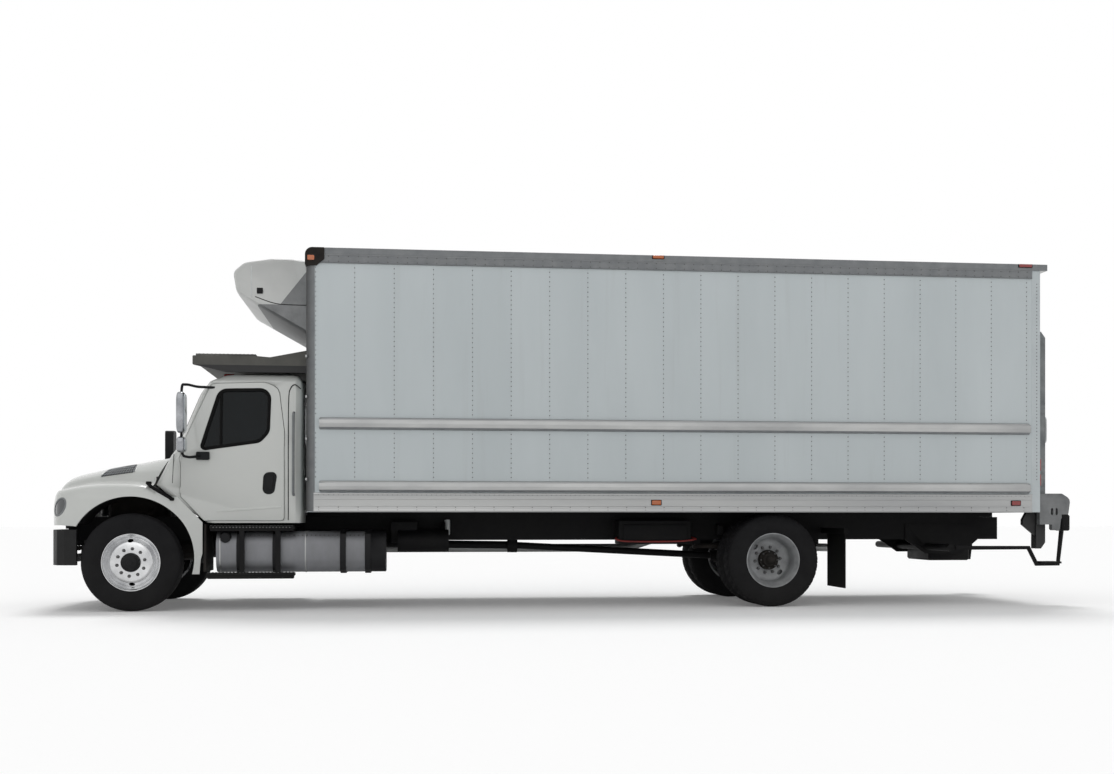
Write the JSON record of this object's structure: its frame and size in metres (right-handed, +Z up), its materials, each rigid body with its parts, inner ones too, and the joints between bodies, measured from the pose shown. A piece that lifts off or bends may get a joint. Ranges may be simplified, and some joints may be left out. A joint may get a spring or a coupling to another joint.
{
  "type": "refrigerated truck",
  "caption": "Refrigerated box truck: conventional cab with tilting hood, insulated load body, nose-mounted cooling unit, dual rear wheels and rail lift gate.",
  "frame": {"origin": "on the ground, under the middle of the whole truck's box", "axes": "-X forwards, -Y to the truck's left side, +Z up"},
  "size_m": [11.085, 3.06, 3.79],
  "materials": {
    "white_paint": "gloss",
    "body_panel": "satin",
    "bare_aluminium": "satin",
    "polished_aluminium": "polished",
    "wheel_white": "satin",
    "chassis_black": "satin",
    "tyre": "matte",
    "rubber": "matte",
    "dark_plastic": "matte",
    "gate_grey": "satin",
    "dark_glass": "gloss",
    "lamp_glass": "gloss",
    "seat_cloth": "matte",
    "cast_iron": "satin"
  },
  "bodies": {
    "truck": {"back_window": "dark_glass", "body_floor": "bare_aluminium", "cab_shell": "white_paint", "cab_steps_left": "chassis_black", "cab_steps_right": "chassis_black", "catwalk": "gate_grey", "chassis_frame": "chassis_black", "dashboard": "dark_plastic", "driveshaft": "chassis_black", "engine_and_gearbox": "cast_iron", "exhaust_system": "bare_aluminium", "front_axle": "cast_iron", "front_bumper": "dark_plastic", "front_wall": "body_panel", "fuel_tank": "bare_aluminium", "gate_column_left": "gate_grey", "gate_column_right": "gate_grey", "gate_power_unit": "chassis_black", "mudflap_left": "rubber", "mudflap_right": "rubber", "rear_axle": "cast_iron", "rear_door": "body_panel", "rear_frame": "bare_aluminium", "rear_step_left": "chassis_black", "rear_step_right": "chassis_black", "refrigeration_unit": "white_paint", "roof": "bare_aluminium", "seat_left": "seat_cloth", "seat_right": "seat_cloth", "side_wall_left": "body_panel", "side_wall_right": "body_panel", "windscreen": "dark_glass"},
    "hood": {"hood": "white_paint", "grille": "dark_plastic", "headlamp_left": "lamp_glass", "headlamp_right": "lamp_glass", "fender_mirror_right": "dark_plastic"},
    "door_left": {"door_left": "white_paint", "door_glass_left": "dark_glass", "mirror_left": "dark_plastic"},
    "door_right": {"door_right": "white_paint", "door_glass_right": "dark_glass", "mirror_right": "dark_plastic"},
    "knuckle_left": {"steering_knuckle_left": "cast_iron"},
    "knuckle_right": {"steering_knuckle_right": "cast_iron"},
    "tie_rod": {"tie_rod": "cast_iron"},
    "front_wheel_left": {"wheel_front_left": "polished_aluminium", "tyre_front_left": "tyre"},
    "front_wheel_right": {"wheel_front_right": "polished_aluminium", "tyre_front_right": "tyre"},
    "rear_wheels_left": {"wheel_rear_left": "wheel_white", "tyre_rear_outer_left": "tyre", "tyre_rear_inner_left": "tyre"},
    "rear_wheels_right": {"wheel_rear_right": "wheel_white", "tyre_rear_outer_right": "tyre", "tyre_rear_inner_right": "tyre"},
    "gate_runner": {"gate_runner": "gate_grey"},
    "gate_platform": {"gate_platform": "gate_grey"}
  },
  "joints": [
    {"name": "steer_left", "type": "hinge", "parent": "truck", "child": "knuckle_left", "pos_m": [-4.6625, -0.84, 0.51], "axis": [0, 0, 1], "range_deg": [-35, 35]},
    {"name": "steer_right", "type": "hinge", "parent": "truck", "child": "knuckle_right", "pos_m": [-4.6625, 0.84, 0.51], "axis": [0, 0, 1], "range_deg": [-35, 35]},
    {"name": "tie_rod_pivot", "type": "hinge", "parent": "knuckle_left", "child": "tie_rod", "pos_m": [-4.4775, -0.82, 0.4], "axis": [0, 0, 1], "range_deg": [-35, 35]},
    {"name": "front_spin_left", "type": "hinge", "parent": "knuckle_left", "child": "front_wheel_left", "pos_m": [-4.6625, -1.03, 0.51], "axis": [0, 1, 0], "continuous": true},
    {"name": "front_spin_right", "type": "hinge", "parent": "knuckle_right", "child": "front_wheel_right", "pos_m": [-4.6625, 1.03, 0.51], "axis": [0, 1, 0], "continuous": true},
    {"name": "rear_spin_left", "type": "hinge", "parent": "truck", "child": "rear_wheels_left", "pos_m": [2.1575, -1.082, 0.51], "axis": [0, 1, 0], "continuous": true},
    {"name": "rear_spin_right", "type": "hinge", "parent": "truck", "child": "rear_wheels_right", "pos_m": [2.1575, 1.082, 0.51], "axis": [0, 1, 0], "continuous": true},
    {"name": "door_left_hinge", "type": "hinge", "parent": "truck", "child": "door_left", "pos_m": [-4.1675, -1.1, 1.5], "axis": [0, 0, -1], "range_deg": [0, 70]},
    {"name": "door_right_hinge", "type": "hinge", "parent": "truck", "child": "door_right", "pos_m": [-4.1675, 1.1, 1.5], "axis": [0, 0, 1], "range_deg": [0, 70]},
    {"name": "hood_hinge", "type": "hinge", "parent": "truck", "child": "hood", "pos_m": [-5.5175, 0, 0.885], "axis": [0, -1, 0], "range_deg": [0, 70]},
    {"name": "gate_slide", "type": "slide", "parent": "truck", "child": "gate_runner", "axis": [0, 0, 1], "range_m": [-1.07, 0]},
    {"name": "platform_fold", "type": "hinge", "parent": "gate_runner", "child": "gate_platform", "pos_m": [5.3325, 0, 1.215], "axis": [0, 1, 0], "range_deg": [0, 90]}
  ],
  "couplings": [
    {"joint": "steer_right", "follows": "steer_left", "ratio": 1},
    {"joint": "tie_rod_pivot", "follows": "steer_left", "ratio": -1}
  ]
}
